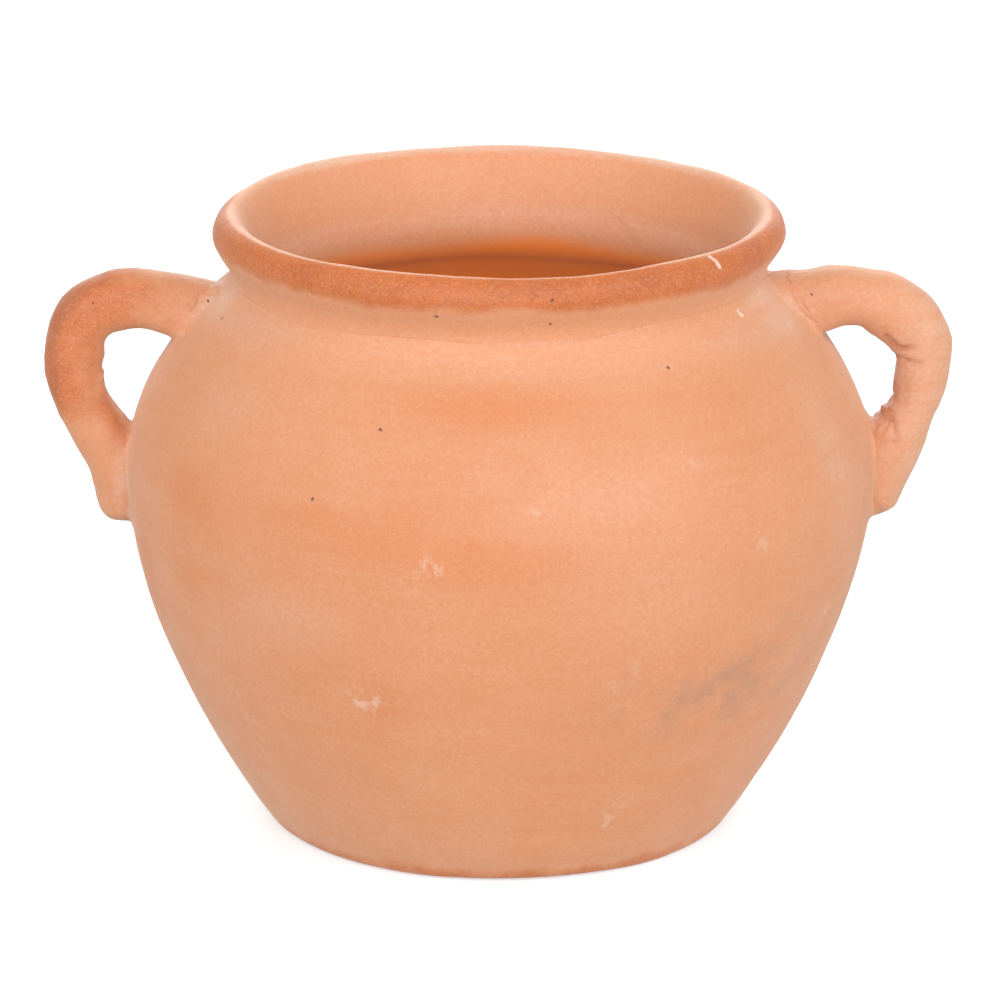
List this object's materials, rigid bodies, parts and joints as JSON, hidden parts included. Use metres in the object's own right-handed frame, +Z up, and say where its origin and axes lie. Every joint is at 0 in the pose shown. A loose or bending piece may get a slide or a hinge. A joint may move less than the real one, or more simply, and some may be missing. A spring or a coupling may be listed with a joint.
{
  "type": "terracotta pot",
  "caption": "Round-bellied unglazed terracotta pot with a rolled rim, a pulled clay handle each side and a small drain hole.",
  "frame": {"origin": "middle of the flat base, on the surface that the pot stands on", "axes": "+Z up through the mouth, +X towards the right handle, so the front seen with both handles at the sides faces -Y"},
  "size_m": [0.2596, 0.2132, 0.179],
  "materials": {
    "body_clay": "unglazed matte earthenware, fine grained",
    "rim_clay": "unglazed matte earthenware, flashed darker by the kiln",
    "handle_clay": "unglazed matte earthenware, rubbed smooth by hand",
    "luting_clay": "unglazed matte slip, paler than the body"
  },
  "bodies": {
    "root": {"body": "body_clay", "neck_rim": "rim_clay", "handle_left": "handle_clay", "handle_right": "handle_clay", "luting_left_upper": "luting_clay", "luting_left_lower": "luting_clay", "luting_right_upper": "luting_clay", "luting_right_lower": "luting_clay"}
  },
  "joints": []
}
